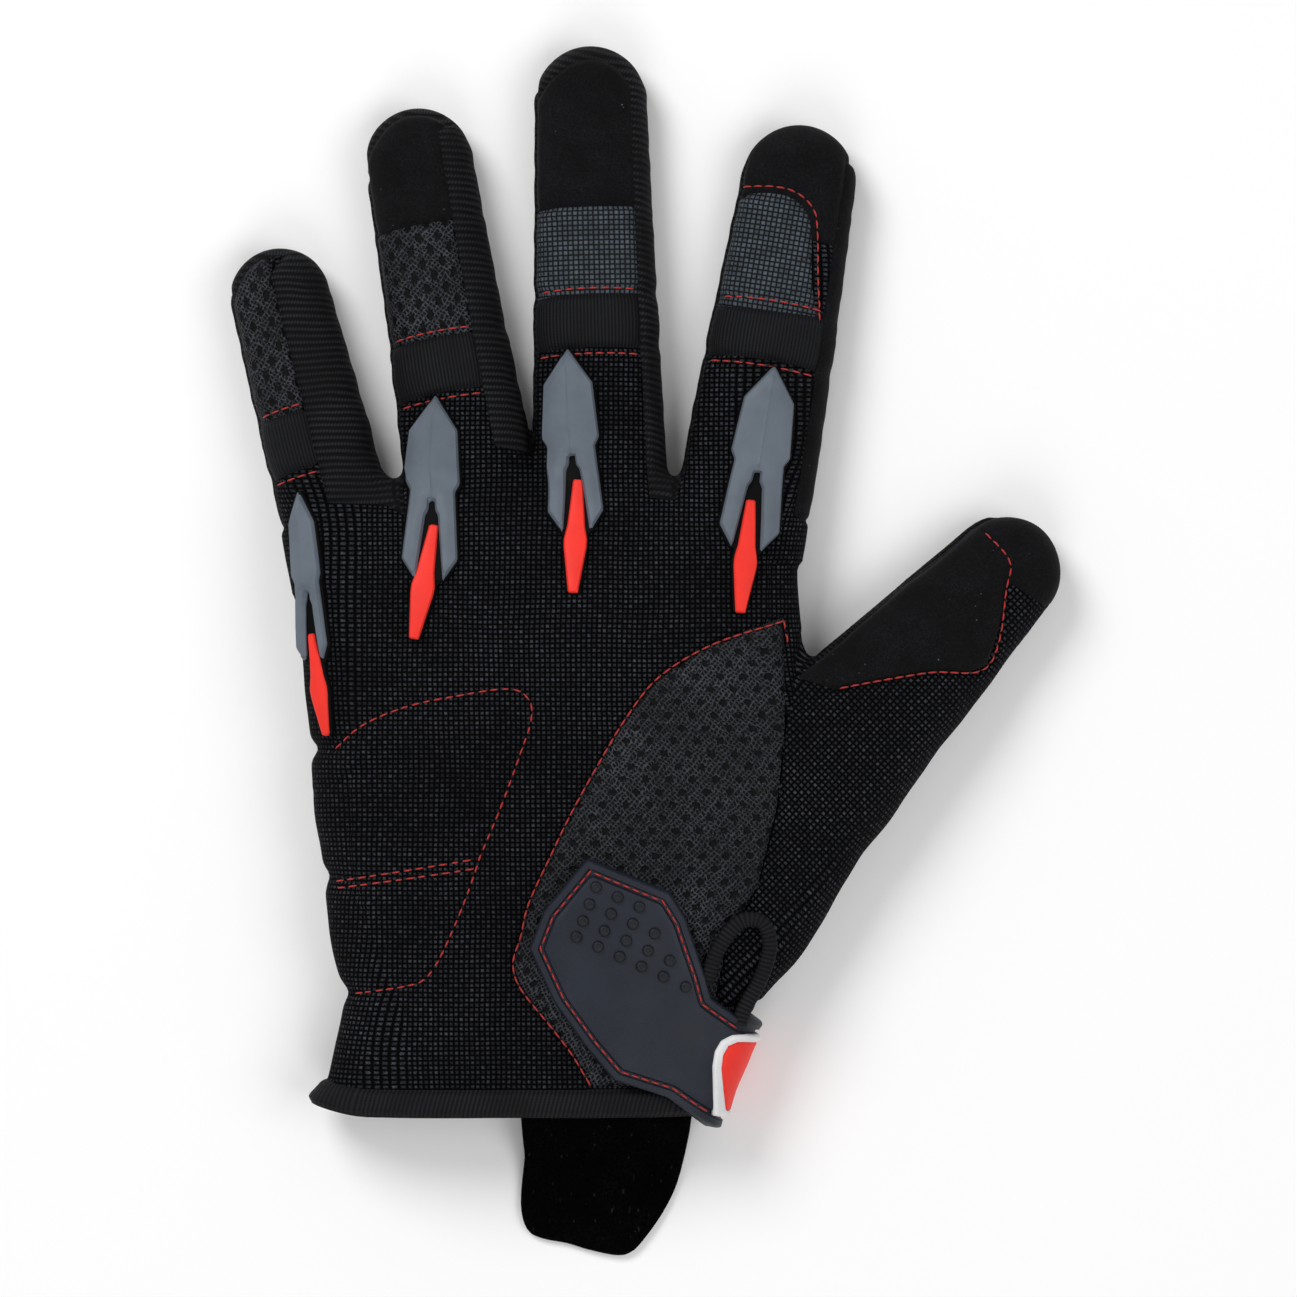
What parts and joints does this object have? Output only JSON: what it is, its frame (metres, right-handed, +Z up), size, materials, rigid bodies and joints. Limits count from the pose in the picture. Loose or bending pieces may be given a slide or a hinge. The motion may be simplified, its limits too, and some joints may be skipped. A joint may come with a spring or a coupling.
{
  "type": "mechanic glove",
  "caption": "Padded work glove for the left hand, hollow, with moulded knuckle guards, leather palm patches and a wrist strap.",
  "frame": {"origin": "on the table, under the middle of the heel of the hand, on the flat underside of the palm patch", "axes": "+Y along the fingers, +X towards the thumb, +Z up out of the back of the hand"},
  "size_m": [0.193, 0.2825, 0.0326],
  "materials": {
    "woven": "matt woven nylon",
    "stretch": "ribbed elastic",
    "spacer": "open spacer mesh",
    "printed": "coarse two-tone weave",
    "suede": "brushed synthetic suede",
    "pile": "looped pile",
    "grained": "grained synthetic leather",
    "guard": "matt moulded rubber",
    "red": "moulded rubber, satin",
    "white": "moulded rubber, satin",
    "strap": "moulded rubber, slightly glossy"
  },
  "bodies": {
    "root": {"side_little_outer": "stretch", "side_little_ring": "stretch", "side_ring_middle": "stretch", "side_middle_index": "stretch", "side_index_outer": "stretch", "mesh_panel_little": "spacer", "knuckle_band_little": "stretch", "tip_cap_ring": "suede", "mesh_panel_ring": "spacer", "knuckle_band_ring": "stretch", "tip_cap_middle": "suede", "print_panel_middle": "printed", "knuckle_band_middle": "stretch", "tip_cap_index": "suede", "print_panel_index": "printed", "knuckle_band_index": "stretch", "hand_mesh_panel": "spacer", "thumb_patch": "suede", "thumb_back": "woven", "thumb_gusset": "woven", "wrist_elastic": "stretch", "back_panel": "woven", "palm_leather": "grained", "palm_patch": "grained", "fingertip_patch_little": "grained", "fingertip_patch_ring": "grained", "fingertip_patch_middle": "grained", "fingertip_patch_index": "grained", "knuckle_guard_little": "guard", "knuckle_insert_little": "red", "knuckle_guard_ring": "guard", "knuckle_insert_ring": "red", "knuckle_guard_middle": "guard", "knuckle_insert_middle": "red", "knuckle_guard_index": "guard", "knuckle_insert_index": "red", "hem_binding": "stretch", "wrist_strap": "strap", "strap_badge_rim": "white", "strap_badge_field": "red", "pull_loop": "stretch", "hook_patch": "pile", "pull_tab": "pile"}
  },
  "joints": []
}
